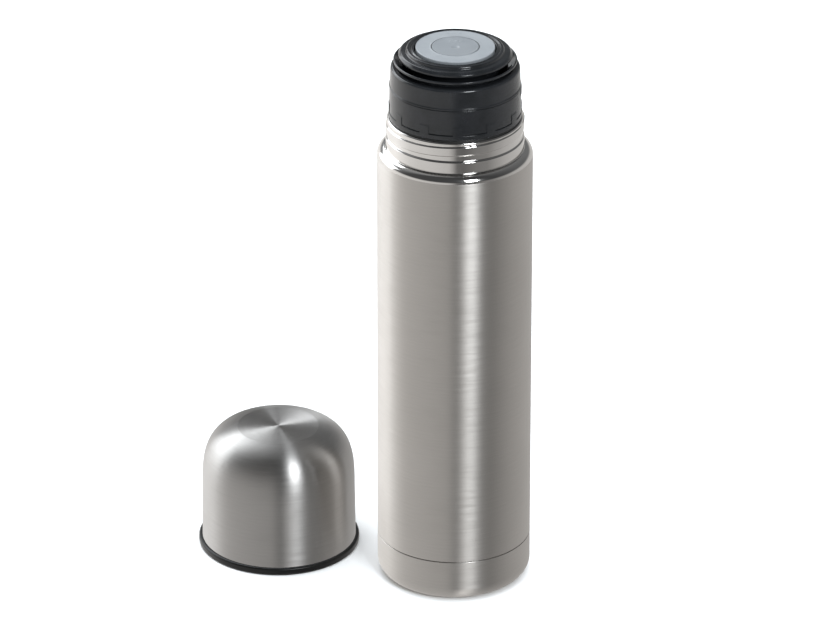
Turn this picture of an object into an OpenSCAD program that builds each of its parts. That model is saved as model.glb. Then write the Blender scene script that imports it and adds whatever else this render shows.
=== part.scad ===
// Vacuum flask: double-walled steel bottle, push-button stopper and drinking cup.
// Origin on the flask's axis at its base plane, +Z up, millimetres.
// The cup stands beside the flask with its mouth down.

/* [Flask] */
// Outer diameter of the steel body
body_d = 70; // [68:0.5:72]
// Height at which the body starts to round in towards the neck
shoulder_z = 209.1; // [200:0.1:220]
// Height of the seam above the base cap
seam_z = 20.5; // [16:0.5:26]
// Radius of the base cap's bottom edge
base_round = 7; // [5:0.5:7]
// Sheet thickness of the steel walls
sheet_t = 0.6; // [0.5:0.05:0.6]

/* [Neck] */
// Diameter of the plain band above the shoulder
neck_d = 62.2; // [62:0.1:62.4]
// Height of the neck above the start of the shoulder
neck_h = 18.4; // [18:0.1:19]
// Rise of all screw threads in one turn
thread_lead = 5; // [4.8:0.1:5.2]
// Turns of thread on the neck and on the stopper
thread_turns = 1.25; // [1:0.05:1.3]

/* [Stopper] */
// Diameter of the black collar where it is widest
collar_d = 59.4; // [59:0.1:59.8]
// Height of the stopper's head above the steel lip
head_h = 34.3; // [34:0.1:36]
// Number of locking tabs round the key ring
tab_count = 12; // [6:1:16]
// Outer diameter of the grey release ring
release_d = 35.4; // [34:0.1:35.6]
// Diameter of the grey centre button
button_d = 21; // [20:0.1:21.2]
// Travel of the centre button
button_travel = 4.2; // [3:0.1:4.3]
// Travel of the release ring
release_travel = 1.5; // [1:0.1:1.8]

/* [Cup] */
// Outer diameter of the cup's steel cover at the mouth
cup_d = 71.2; // [71:0.1:72]
// Height of the cup
cup_h = 58.8; // [56:0.1:59]
// Diameter of the black rim
cup_rim_d = 74.4; // [73.6:0.1:76]
// Distance of the cup's axis to the left of the flask's axis
cup_left = 81; // [75:1:140]
// Distance of the cup's axis behind the flask's axis
cup_behind = 27.5; // [0:0.5:60]

/* [Hidden] */
round_fn = 96;
helix_step = 15;
cut = 1;
fit_gap = 0.05;

steel_light = [0.72, 0.71, 0.69];
steel_dark = [0.55, 0.55, 0.55];
foil_tone = [0.85, 0.86, 0.88];
plastic_black = [0.09, 0.09, 0.1];
plastic_soot = [0.16, 0.16, 0.17];
plastic_grey = [0.62, 0.65, 0.68];
silicone_tone = [0.3, 0.3, 0.31];
brass_tone = [0.7, 0.6, 0.35];

// Flask walls
body_r = body_d / 2;
band_r = neck_d / 2;
shoulder_r = body_r - band_r;
band_bottom_z = shoulder_z + shoulder_r;
band_top_z = band_bottom_z + 5.2;
root_r = band_r - 0.8;
lip_z = shoulder_z + neck_h;
lip_round = 0.8;
cap_gap = 0.15;
foot_r = body_r - base_round;
foot_w = 3;
dish_h = 1.4;
shell_bottom_z = base_round + 0.2;
swage = sheet_t + 0.1;
seal_hole_r = 1.5;

// Inner bottle
inner_r = body_r - 3.8;
mouth_r = root_r - 2 * sheet_t - 0.4;
throat_r = mouth_r - 3.9;
seat_top_z = lip_z - 18;
seat_low_z = seat_top_z - 3;
throat_low_z = seat_low_z - 3;
bottle_top_z = throat_low_z - 7.5;
bottle_low_z = 12.5;
flange_h = 3;
foil_t = 0.1;

// Screw threads
thread_depth = 2.3;
thread_root_w = 3;
thread_crest_w = 1.4;
neck_thread_z = lip_z - 10;
plug_thread_z = neck_thread_z - thread_lead / 2;
cup_thread_depth = 0.75;
cup_thread_root_w = 4.2;
cup_thread_crest_w = 2.4;
cup_thread_z = lip_z - 7.75;

// Stopper plug and head
plug_r = mouth_r - 2.8;
plug_wall = 2;
plug_low_z = lip_z - 26.5;
nose_r = throat_r - 1.4;
nose_top_z = seat_top_z + 0.6;
nose_floor = 2.2;
seat_hole_r = 13.5;
gasket_t = 1.2;
flange_z = lip_z + gasket_t + 2 * fit_gap;
flange_top_z = flange_z + 2.4;
flange_r = 28.2;
tube_in_r = 23.4;
tube_out_r = 25;
tube_top_z = lip_z + 24;
ledge_z = tube_top_z - 1.2;
hub_r = 5.5;
hub_low_z = flange_z - 3;
hub_h = 6;
rib_t = 1.6;

collar_r = collar_d / 2;
collar_low_z = flange_top_z + cap_gap;
collar_mid_z = lip_z + 15.5;
collar_round = 2.3;
collar_top_z = tube_top_z + 1.3;
collar_wall = 1.7;
collar_draft = 0.8;
tab_w = 4.4;
tab_h = 4;
tab_in_r = flange_r + 0.15;
lug_z = collar_mid_z - 2.4;

spout_r = 27.6;
spout_top_z = tube_top_z + 4.6;

// Push button, release ring and the cap that holds them
disc_z = lip_z + head_h;
cap_ring_r = 21.6;
cap_ring_z = disc_z - 0.7;
cap_step_r = cap_ring_r - 1.5;
cap_step_z = cap_ring_z - 0.8;
well_r = release_d / 2 + 0.4;
well_floor_z = disc_z - 9.9;
well_wall = 1.8;
well_low_z = well_floor_z - 1.7;
cap_flange_r = 25.4;
cap_flange_top_z = disc_z - 2.2;
cap_flange_low_z = disc_z - 4.5;
button_r = button_d / 2;
button_t = 2.2;
button_low_z = disc_z - button_t;
skirt_h = 2.6;
stem_r = 3;
guide_r = stem_r + fit_gap;
guide_wall = 1.55;
guide_top_z = disc_z - 7.9;
boss_low_z = well_low_z - 3.4;
seal_h = 1.8;
release_in_r = button_r + 0.35;
release_out_r = release_d / 2;
latch_in_r = button_r + 0.2;
latch_h = 5.2;
wire_r = 0.55;
release_wire_r = 0.5;
release_coil_r = 14.6;
button_coil_r = 6.4;
coil_turns = 3.5;

// Valve under the plug
valve_gap = fit_gap;
valve_seal_t = 1.5;
plate_r = 15.5;
plate_t = 2.2;
plate_top_z = plug_low_z - valve_gap - valve_seal_t;
stem_top_z = disc_z - 1;
stem_head_r = 4.2;
stem_head_h = 1;

// Cup, with its mouth down
cup_mouth_r = cup_d / 2;
cup_wall_r = cup_mouth_r - 0.3;
cup_curve_r = 3.8;
cup_curve_low_z = 26.8;
cup_curve_h = 32.7;
cup_curve_power = 3.5;
cup_curve_steps = 14;
cup_sheet_t = 0.5;
liner_gap = 0.1;
liner_t = 1.7;
rim_r = cup_rim_d / 2;
rim_h = 3.5;
rim_round = 1.2;
liner_thread_r = 30.6;
liner_thread_z = 8.5;

// Points of a circular arc, as [radius, height] pairs
function arc(centre_r, centre_z, r, from, to, steps = 8) = [
    for (i = [0:steps])
        let (a = from + (to - from) * i / steps)
            [centre_r + r * cos(a), centre_z + r * sin(a)]
];

// Trapezoid thread section between two radii, each with its own width
function thread_section(r_in, w_in, r_out, w_out) = [
    [r_in, -w_in / 2],
    [r_out, -w_out / 2],
    [r_out, w_out / 2],
    [r_in, w_in / 2]
];

// Round wire section
function wire_section(coil_r, r, sides = 8) = [
    for (i = [0:sides - 1])
        [coil_r + r * cos(360 * i / sides), r * sin(360 * i / sides)]
];

// 0 at both ends of a run of steps, 1 along its middle
function fade(i, steps, run) = min(1, i / run, (steps - i) / run);

// Sections of an outside thread whose ends run out into the wall
function outer_thread(root_r, depth, root_w, crest_w, steps) = [
    for (i = [0:steps])
        let (f = 0.12 + 0.88 * fade(i, steps, 3))
            thread_section(root_r - 0.3, root_w, root_r + depth * f, crest_w)
];

// Sections of an inside thread whose ends run out into the wall
function inner_thread(root_r, depth, root_w, crest_w, steps) = [
    for (i = [0:steps])
        let (f = 0.12 + 0.88 * fade(i, steps, 3))
            thread_section(root_r - depth * f, crest_w, root_r + 0.3, root_w)
];

// Joins a list of sections along a right-hand helix
module helix(sections, start_z, lead) {
    count = len(sections);
    corners = len(sections[0]);
    points = [
        for (i = [0:count - 1], p = sections[i])
            let (a = i * helix_step)
                [p[0] * cos(a), p[0] * sin(a), start_z + p[1] + lead * a / 360]
    ];
    sides = [
        for (i = [0:count - 2], j = [0:corners - 1])
            let (a = i * corners + j, b = i * corners + (j + 1) % corners)
                for (face = [[a, b, b + corners], [a, b + corners, a + corners]])
                    face
    ];
    start_cap = [for (j = [corners - 1:-1:0]) j];
    end_cap = [for (j = [0:corners - 1]) (count - 1) * corners + j];
    polyhedron(points, concat([start_cap, end_cap], sides), convexity = 8);
}

module turned(points) {
    rotate_extrude($fn = round_fn)
        polygon(points);
}

module tube(r_out, r_in, low_z, high_z) {
    translate([0, 0, low_z])
        difference() {
            cylinder(r = r_out, h = high_z - low_z, $fn = round_fn);
            translate([0, 0, -cut])
                cylinder(r = r_in, h = high_z - low_z + 2 * cut, $fn = round_fn);
        }
}

thread_steps = round(thread_turns * 360 / helix_step);
coil_steps = round(coil_turns * 360 / helix_step);

// Steel outer wall with the shoulder, the plain band, the rolled thread and the lip
module outer_shell() {
    color(steel_light) {
        turned(concat(
            [[body_r - swage, shell_bottom_z]],
            [[body_r - swage, seam_z + cap_gap]],
            [[body_r, seam_z + cap_gap]],
            arc(body_r - shoulder_r, shoulder_z, shoulder_r, 0, 90),
            [[band_r, band_top_z]],
            [[root_r, band_top_z + 0.6]],
            arc(root_r - lip_round, lip_z - lip_round, lip_round, 0, 90, 5),
            [[mouth_r + sheet_t + fit_gap, lip_z]],
            [[mouth_r + sheet_t + fit_gap, lip_z - sheet_t]],
            [[root_r - sheet_t, lip_z - 2 * sheet_t]],
            [[root_r - sheet_t, band_top_z + 0.8]],
            [[band_r - sheet_t, band_top_z + 0.2]],
            arc(band_r, shoulder_z, shoulder_r - sheet_t, 90, 0),
            [[body_r - sheet_t, seam_z + 1]],
            [[body_r - swage - sheet_t, seam_z + cap_gap]],
            [[body_r - swage - sheet_t, shell_bottom_z]]
        ));
        helix(
            outer_thread(root_r, cup_thread_depth, cup_thread_root_w, cup_thread_crest_w, thread_steps),
            cup_thread_z,
            thread_lead
        );
    }
}

// Pressed steel cap over the lower end, standing on a ring
module base_cap() {
    color(steel_light)
        turned(concat(
            [[0, dish_h]],
            [[foot_r - foot_w - dish_h, dish_h]],
            [[foot_r - foot_w, 0]],
            arc(foot_r, base_round, base_round, -90, 0),
            [[body_r, seam_z - cap_gap]],
            [[body_r - sheet_t, seam_z - cap_gap]],
            arc(foot_r, base_round, base_round - sheet_t, 0, -90),
            [[foot_r - foot_w, sheet_t]],
            [[foot_r - foot_w - dish_h, dish_h + sheet_t]],
            [[0, dish_h + sheet_t]]
        ));
}

// Disc that closes the outer wall, with the evacuation hole
module outer_bottom() {
    rim_in_r = body_r - swage - sheet_t - fit_gap;
    color(steel_dark)
        turned([
            [seal_hole_r, shell_bottom_z],
            [rim_in_r, shell_bottom_z],
            [rim_in_r, shell_bottom_z + flange_h],
            [rim_in_r - sheet_t, shell_bottom_z + flange_h],
            [rim_in_r - sheet_t, shell_bottom_z + sheet_t],
            [seal_hole_r, shell_bottom_z + sheet_t]
        ]);
}

// Solder bead that closes the evacuation hole
module vacuum_seal() {
    bead_r = 3;
    bead_h = 0.8;
    color(brass_tone)
        turned([
            [0, shell_bottom_z - bead_h],
            [bead_r - 1, shell_bottom_z - bead_h],
            [bead_r, shell_bottom_z],
            [seal_hole_r, shell_bottom_z],
            [seal_hole_r, shell_bottom_z + sheet_t],
            [0, shell_bottom_z + sheet_t]
        ]);
}

// Steel inner bottle: mouth with its inside thread, seat, throat and body
module inner_bottle() {
    color(steel_dark) {
        turned([
            [inner_r, bottle_low_z],
            [inner_r + sheet_t, bottle_low_z],
            [inner_r + sheet_t, bottle_top_z + 0.3],
            [throat_r + sheet_t, throat_low_z + 0.2],
            [throat_r + sheet_t, seat_low_z - 0.3],
            [mouth_r + sheet_t, seat_top_z - 0.3],
            [mouth_r + sheet_t, lip_z],
            [mouth_r, lip_z],
            [mouth_r, seat_top_z],
            [throat_r, seat_low_z],
            [throat_r, throat_low_z],
            [inner_r, bottle_top_z]
        ]);
        helix(
            inner_thread(mouth_r, thread_depth, thread_root_w, thread_crest_w, thread_steps),
            neck_thread_z,
            thread_lead
        );
    }
}

// Dished disc welded into the lower end of the inner bottle
module inner_bottom() {
    rim_in_r = inner_r - fit_gap;
    floor_r = rim_in_r - 4;
    color(steel_dark)
        turned([
            [0, bottle_low_z + 0.8],
            [floor_r, bottle_low_z],
            [rim_in_r - 1, bottle_low_z],
            [rim_in_r, bottle_low_z + 1],
            [rim_in_r, bottle_low_z + flange_h],
            [rim_in_r - sheet_t, bottle_low_z + flange_h],
            [rim_in_r - sheet_t, bottle_low_z + 1.2],
            [rim_in_r - 1.2, bottle_low_z + sheet_t],
            [floor_r, bottle_low_z + sheet_t],
            [0, bottle_low_z + 0.8 + sheet_t]
        ]);
}

// Heat-reflecting foil wrapped round the inner bottle inside the vacuum
module radiation_foil() {
    foil_r = inner_r + sheet_t + fit_gap;
    color(foil_tone)
        tube(foil_r + foil_t, foil_r, bottle_low_z + 4, bottle_top_z - 2);
}

// Pill under the inner bottom that keeps the vacuum clean
module getter() {
    getter_r = 6;
    getter_h = 2;
    color(brass_tone)
        translate([0, 0, bottle_low_z - getter_h])
            cylinder(r = getter_r, h = getter_h, $fn = round_fn);
}

// Silicone ring between the steel lip and the stopper's flange
module lip_gasket() {
    color(silicone_tone)
        tube(collar_r - 0.3, plug_r + 0.4, lip_z + fit_gap, lip_z + fit_gap + gasket_t);
}

// One of the ribs that carry the stem guide inside the plug
module hub_rib(turn) {
    rotate([0, 0, turn])
        translate([guide_r + 1, -rib_t / 2, hub_low_z])
            cube([tube_in_r - guide_r, rib_t, hub_h]);
}

// Threaded plug with its valve opening, flange, pour tube and stem guide
module stopper_plug() {
    color(plastic_soot) {
        difference() {
            union() {
                turned([
                    [seat_hole_r, plug_low_z],
                    [nose_r, plug_low_z],
                    [nose_r, nose_top_z],
                    [plug_r, nose_top_z + 1.5],
                    [plug_r, flange_z],
                    [flange_r, flange_z],
                    [flange_r, flange_top_z],
                    [tube_out_r, flange_top_z],
                    [tube_out_r, tube_top_z],
                    [tube_in_r, tube_top_z],
                    [tube_in_r, ledge_z],
                    [tube_in_r - 1.2, ledge_z],
                    [tube_in_r - 1.2, ledge_z - 1.2],
                    [tube_in_r, ledge_z - 2.4],
                    [tube_in_r, nose_top_z + 2],
                    [nose_r - plug_wall, nose_top_z],
                    [nose_r - plug_wall, plug_low_z + nose_floor],
                    [seat_hole_r, plug_low_z + nose_floor]
                ]);
                translate([0, 0, hub_low_z])
                    cylinder(r = hub_r, h = hub_h, $fn = round_fn);
                for (turn = [0:90:270])
                    hub_rib(turn);
            }
            translate([0, 0, hub_low_z - cut])
                cylinder(r = guide_r, h = hub_h + 2 * cut, $fn = round_fn);
        }
        helix(
            outer_thread(plug_r, thread_depth, thread_root_w, thread_crest_w, thread_steps),
            plug_thread_z,
            thread_lead
        );
    }
}

// Silicone ring that the plug presses onto the bottle's inner seat
module plug_seal() {
    color(silicone_tone)
        turned([
            [nose_r + fit_gap, seat_low_z + 0.4],
            [nose_r + 1.1, seat_low_z + 0.4],
            [plug_r, seat_top_z - 1.2],
            [plug_r, seat_top_z + 0.4],
            [nose_r + fit_gap, seat_top_z + 0.4]
        ]);
}

// Twelve-tab sector shape used for the tabs and their notches
module tab_blocks(w, h, r_in, r_out, low_z) {
    for (i = [0:tab_count - 1])
        rotate([0, 0, -88 + i * 360 / tab_count])
            translate([r_in, -w / 2, low_z])
                cube([r_out - r_in, w, h]);
}

// Lower ring of the head, whose tabs lock into the collar
module key_ring() {
    ring_r = collar_r + 0.1;
    color(plastic_black) {
        turned([
            [tab_in_r, flange_z],
            [ring_r - 0.5, flange_z],
            [ring_r, flange_z + 0.5],
            [ring_r, flange_top_z],
            [tab_in_r, flange_top_z]
        ]);
        intersection() {
            tab_blocks(tab_w, tab_h + 1, tab_in_r + 0.1, collar_r + cut, flange_top_z - 1);
            turned([
                [tab_in_r, flange_z],
                [collar_r, flange_z],
                [collar_r - 0.15, flange_top_z + tab_h + 1],
                [tab_in_r, flange_top_z + tab_h + 1]
            ]);
        }
    }
}

// Glossy head of the stopper, with a fine ridge round its middle
module head_collar() {
    top_r = collar_r - collar_draft;
    inner_low_r = collar_r - collar_wall;
    inner_top_r = top_r - collar_wall;
    ridge_h = 0.2;
    color(plastic_black)
        difference() {
            union() {
                turned(concat(
                    [[inner_low_r, collar_low_z]],
                    [[collar_r, collar_low_z]],
                    [[collar_r - 0.38, collar_mid_z - 0.5]],
                    [[collar_r - 0.4 + ridge_h, collar_mid_z - 0.2]],
                    [[collar_r - 0.4 + ridge_h, collar_mid_z + 0.2]],
                    [[collar_r - 0.42, collar_mid_z + 0.5]],
                    arc(top_r - collar_round, collar_top_z - collar_round, collar_round, 0, 90),
                    [[tube_out_r + 0.6, collar_top_z - 0.8]],
                    [[tube_out_r + 0.6, collar_top_z - 2.2]],
                    [[inner_top_r, collar_top_z - 2.8]]
                ));
                rotate([0, 0, -10])
                    rotate_extrude(angle = 20, $fn = round_fn)
                        translate([collar_r - 1, lug_z])
                            square([1.25, 4.6]);
            }
            tab_blocks(tab_w + 0.3, tab_h + 1, tab_in_r, collar_r + cut, flange_top_z - 1 + cap_gap);
        }
}

// Flared drip ring on top of the pour tube
module pour_lip() {
    color(plastic_black)
        turned([
            [tube_in_r, tube_top_z + fit_gap],
            [tube_out_r + 0.4, tube_top_z + fit_gap],
            [tube_out_r + 0.4, tube_top_z + 1.4],
            [tube_out_r + 1.2, tube_top_z + 2.6],
            [spout_r, spout_top_z - 0.7],
            [spout_r, spout_top_z - 0.3],
            [spout_r - 0.3, spout_top_z],
            [spout_r - 0.8, spout_top_z],
            [tube_out_r + 0.2, tube_top_z + 2.8],
            [tube_in_r, tube_top_z + 1.4]
        ]);
}

// One of the legs that hold the top cap inside the pour tube
module cap_leg(turn) {
    rotate([0, 0, turn])
        translate([well_r + 1, -rib_t / 2, ledge_z])
            cube([tube_in_r - 0.1 - well_r - 1, rib_t, cap_flange_low_z - ledge_z + 0.3]);
}

// Cap with the well for the button and ring, its flange, and the stem guide
module top_cap() {
    well_out_r = well_r + well_wall;
    boss_r = guide_r + 3.1;
    color(plastic_black) {
        turned(concat(
            [[guide_r, guide_top_z]],
            [[guide_r, well_low_z - 1]],
            [[guide_r + guide_wall + fit_gap, well_low_z - 1]],
            [[guide_r + guide_wall + fit_gap, boss_low_z]],
            [[boss_r, boss_low_z]],
            [[boss_r, well_low_z]],
            [[well_out_r, well_low_z]],
            [[well_out_r, cap_flange_low_z]],
            arc(cap_flange_r - 1, cap_flange_low_z + 1, 1, -90, 0, 5),
            arc(cap_flange_r - 1, cap_flange_top_z - 1, 1, 0, 90, 5),
            [[cap_ring_r, cap_flange_top_z]],
            arc(cap_ring_r - 0.6, cap_ring_z - 0.6, 0.6, 0, 90, 5),
            [[cap_step_r, cap_ring_z]],
            [[cap_step_r, cap_step_z]],
            [[well_r, cap_step_z]],
            [[well_r, well_floor_z]],
            [[guide_r + guide_wall, well_floor_z]],
            [[guide_r + guide_wall, guide_top_z]]
        ));
        for (turn = [45:90:315])
            cap_leg(turn);
    }
}

// Slotted sleeve whose fingers hold the button down until the ring is pressed
module latch_sleeve() {
    color(plastic_soot)
        difference() {
            tube(latch_in_r + 1, latch_in_r, well_floor_z, well_floor_z + latch_h);
            for (turn = [0, 60, 120])
                rotate([0, 0, turn])
                    translate([-latch_in_r - 2, -0.8, well_floor_z + 1.4])
                        cube([2 * latch_in_r + 4, 1.6, latch_h]);
        }
}

// Silicone ring round the stem, under the well
module stem_seal() {
    color(silicone_tone)
        tube(guide_r + guide_wall, stem_r + fit_gap, well_low_z - 1 - seal_h, well_low_z - 1);
}

// Grey centre button with a shallow dish
module open_button() {
    skirt_r = button_r - 0.1;
    color(plastic_grey)
        difference() {
            turned([
                [0, disc_z - 0.3],
                [button_r - 1.5, disc_z],
                [button_r - 0.3, disc_z],
                [button_r, disc_z - 0.3],
                [button_r, button_low_z],
                [skirt_r, button_low_z - skirt_h],
                [skirt_r - 1.4, button_low_z - skirt_h],
                [skirt_r - 1.4, button_low_z],
                [5, button_low_z],
                [5, button_low_z - 1],
                [0, button_low_z - 1]
            ]);
            translate([0, 0, button_low_z - 1 - cut])
                cylinder(r = stem_r + 0.02, h = stem_top_z - button_low_z + 1 + cut, $fn = round_fn);
        }
}

// Rod from the button down to the valve plate
module valve_stem() {
    color(plastic_soot) {
        translate([0, 0, plate_top_z - plate_t])
            cylinder(r = stem_r, h = stem_top_z - plate_top_z + plate_t, $fn = round_fn);
        translate([0, 0, plate_top_z - plate_t - stem_head_h])
            cylinder(r1 = stem_r, r2 = stem_head_r, h = stem_head_h, $fn = round_fn);
    }
}

// Round plate that closes the plug from below
module valve_plate() {
    color(plastic_soot)
        turned([
            [stem_r + 0.02, plate_top_z - plate_t],
            [plate_r - 1.5, plate_top_z - plate_t],
            [plate_r, plate_top_z - plate_t + 0.8],
            [plate_r, plate_top_z],
            [stem_r + 0.02, plate_top_z]
        ]);
}

// Silicone ring between the valve plate and the plug
module valve_seal() {
    color(silicone_tone)
        tube(plate_r, seat_hole_r - 1.5, plate_top_z, plate_top_z + valve_seal_t);
}

// Spring that lifts the button and closes the valve
module return_spring() {
    low = well_floor_z + wire_r + 0.1;
    high = button_low_z - wire_r - 0.1;
    color(steel_dark)
        helix(
            [for (i = [0:coil_steps]) wire_section(button_coil_r, wire_r)],
            low,
            (high - low) / coil_turns
        );
}

// Grey ring round the button that lets it spring back
module release_ring() {
    skirt_out_r = release_out_r - 0.1;
    color(plastic_grey)
        turned([
            [release_in_r, disc_z - 0.25],
            [release_in_r + 0.25, disc_z],
            [release_out_r - 0.4, disc_z],
            [release_out_r, disc_z - 0.4],
            [release_out_r, button_low_z],
            [skirt_out_r, button_low_z - 2],
            [skirt_out_r - 1.2, button_low_z - 2],
            [skirt_out_r - 1.2, button_low_z],
            [release_in_r, button_low_z]
        ]);
}

// Spring that lifts the release ring
module release_spring() {
    low = well_floor_z + release_wire_r + 0.1;
    high = button_low_z - release_wire_r - 0.1;
    color(steel_dark)
        helix(
            [for (i = [0:coil_steps]) wire_section(release_coil_r, release_wire_r)],
            low,
            (high - low) / coil_turns
        );
}

// Angle of the cup's curve at the edge of its flat top
function cup_edge(inset) =
    acos(pow((cup_h - inset - cup_curve_low_z) / (cup_curve_h - inset), cup_curve_power / 2));

// Points of the cup's curve from the edge of the flat top to the wall, moved inwards by the same amount
function cup_curve(inset, steps) = [
    for (i = [0:steps])
        let (
            a = cup_edge(inset) + (90 - cup_edge(inset)) * i / steps,
            power = 2 / cup_curve_power
        )
            [
                cup_curve_r + (cup_wall_r - cup_curve_r - inset) * pow(sin(a), power),
                cup_curve_low_z + (cup_curve_h - inset) * pow(max(0, cos(a)), power)
            ]
];

// The same points from the wall to the flat top
function cup_curve_back(inset, steps) =
    let (points = cup_curve(inset, steps))
        [for (i = [steps:-1:0]) points[i]];

// Drawn steel cover of the cup
module cup_shell() {
    inside = cup_sheet_t;
    color(steel_light)
        translate([-cup_left, cup_behind, 0])
            turned(concat(
                [[cup_mouth_r, rim_h]],
                cup_curve_back(0, cup_curve_steps),
                [[0, cup_h]],
                [[0, cup_h - inside]],
                cup_curve(inside, cup_curve_steps),
                [[cup_mouth_r - inside, rim_h]]
            ));
}

// Black plastic lining with the rim and the inside thread
module cup_liner() {
    outside = cup_sheet_t + liner_gap;
    inside = outside + liner_t;
    mouth_in_r = cup_mouth_r - inside;
    color(plastic_black)
        translate([-cup_left, cup_behind, 0]) {
            turned(concat(
                [[mouth_in_r + 0.6, 0]],
                arc(rim_r - rim_round, rim_round, rim_round, -90, 0, 5),
                arc(rim_r - rim_round, rim_h - fit_gap - rim_round, rim_round, 0, 90, 5),
                [[cup_mouth_r - outside, rim_h - fit_gap]],
                cup_curve_back(outside, cup_curve_steps),
                [[0, cup_h - outside]],
                [[0, cup_h - inside]],
                cup_curve(inside, cup_curve_steps),
                [[mouth_in_r, 0.6]]
            ));
            helix(
                inner_thread(mouth_in_r, mouth_in_r - liner_thread_r, 2.8, 1, thread_steps),
                liner_thread_z,
                thread_lead
            );
        }
}

outer_shell();
base_cap();
outer_bottom();
vacuum_seal();
inner_bottle();
inner_bottom();
radiation_foil();
getter();
lip_gasket();
stopper_plug();
plug_seal();
key_ring();
head_collar();
pour_lip();
top_cap();
latch_sleeve();
stem_seal();
open_button();
valve_stem();
valve_plate();
valve_seal();
return_spring();
release_ring();
release_spring();
cup_shell();
cup_liner();
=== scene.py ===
"""Looks of the vacuum flask and its cup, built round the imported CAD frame. Metres, +Z up."""
import math

import bmesh
import bpy
import numpy as np
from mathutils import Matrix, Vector


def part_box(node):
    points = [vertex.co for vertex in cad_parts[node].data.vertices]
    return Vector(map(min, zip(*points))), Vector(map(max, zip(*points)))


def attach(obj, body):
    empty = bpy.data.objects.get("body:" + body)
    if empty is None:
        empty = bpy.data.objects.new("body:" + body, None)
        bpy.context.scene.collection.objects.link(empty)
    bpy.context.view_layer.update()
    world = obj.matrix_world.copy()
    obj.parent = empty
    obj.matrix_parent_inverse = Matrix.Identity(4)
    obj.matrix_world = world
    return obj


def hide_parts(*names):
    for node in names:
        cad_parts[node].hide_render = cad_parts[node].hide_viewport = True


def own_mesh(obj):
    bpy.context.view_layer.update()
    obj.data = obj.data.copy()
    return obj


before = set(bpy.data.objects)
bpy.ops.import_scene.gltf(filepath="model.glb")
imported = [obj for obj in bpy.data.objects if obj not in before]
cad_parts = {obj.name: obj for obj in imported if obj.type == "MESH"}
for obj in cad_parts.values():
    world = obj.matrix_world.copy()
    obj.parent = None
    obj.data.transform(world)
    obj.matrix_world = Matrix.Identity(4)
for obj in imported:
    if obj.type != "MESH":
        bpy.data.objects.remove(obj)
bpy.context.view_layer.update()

MM = 0.001
TAU = 2 * math.pi
# steps round a turned piece
SEGMENTS = 288


# ---------------------------------------------------------------- measures from the frame, in mm
def low(node):
    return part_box(node)[0] / MM


def high(node):
    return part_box(node)[1] / MM


body_r = high("outer_shell").x
lip_z = high("outer_shell").z
seam_top_z = high("base_cap").z
collar_r = -low("head_collar").x
collar_top_z = high("head_collar").z
collar_low_z = low("head_collar").z
ring_low_z = low("key_ring").z
tab_top_z = high("key_ring").z
spout_r = high("pour_lip").x
spout_low_z = low("pour_lip").z
spout_top_z = high("pour_lip").z
cap_r = high("top_cap").x
cap_top_z = high("top_cap").z
disc_z = high("release_ring").z
release_r = high("release_ring").x
button_r = high("open_button").x
gasket_r = high("lip_gasket").x
gasket_low_z = low("lip_gasket").z
gasket_top_z = high("lip_gasket").z
plug_low_z = low("stopper_plug").z
cup_centre = (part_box("cup_shell")[0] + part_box("cup_shell")[1]) / 2
cup_mouth_r = (high("cup_shell").x - low("cup_shell").x) / 2
cup_h = high("cup_shell").z
cup_rim_r = (high("cup_liner").x - low("cup_liner").x) / 2
cup_rim_h = low("cup_shell").z

# details that a node's box doesn't give, in mm, with TAB_START in degrees
SHEET = 0.6
SHOULDER_BELOW_LIP = 18.4
SHOULDER_ROUND = 3.9
BAND_H = 5.2
ROOT_IN = 0.8
BASE_ROUND = 7.0
TAB_COUNT = 12
TAB_W = 4.4
TAB_START = -88.0
CUP_CURVE_R = 3.8
CUP_CURVE_LOW_Z = 26.8
CUP_CURVE_H = 32.7
CUP_CURVE_POWER = 3.5
CUP_SHEET = 0.5

# stopper: pour tube, plug and cap, and the grey disc's thickness
TUBE_IN_R = 23.4
TUBE_OUT_R = 25.0
SEAT_HOLE_R = 13.5
PLUG_FLANGE_R = 28.2
CAP_RING_R = 21.6
STEM_GUIDE_R = 3.05
WELL_DEPTH = 9.9
DISC_T = 2.2

# screw threads: rise in a turn, and each ridge's height, width at the root and width at the crest
LEAD = 5.0
THREAD_TURNS = 1.25
NECK_THREAD = (0.72, 4.9, 3.5)
STOPPER_THREAD = (2.2, 3.0, 1.4)
CUP_THREAD = (2.6, 2.8, 1.2)

# springs: turns, steps in a turn, sides of the wire, and the wires' radii
COIL_TURNS = 3.5
COIL_STEPS = 72
WIRE_SIDES = 16
BUTTON_WIRE_R = 0.55
RELEASE_WIRE_R = 0.5

shoulder_z = lip_z - SHOULDER_BELOW_LIP
band_r = body_r - SHOULDER_ROUND
band_low_z = shoulder_z + SHOULDER_ROUND
band_top_z = band_low_z + BAND_H
root_r = band_r - ROOT_IN
mouth_r = root_r - 2 * SHEET - 0.4


# ---------------------------------------------------------------- outlines
def arc(centre_r, centre_z, radius, start, end, steps=8):
    """Points of an arc in an outline, angles in degrees."""
    angles = np.radians(np.linspace(start, end, steps + 1))
    return [(centre_r + radius * math.cos(a), centre_z + radius * math.sin(a)) for a in angles]


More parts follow.
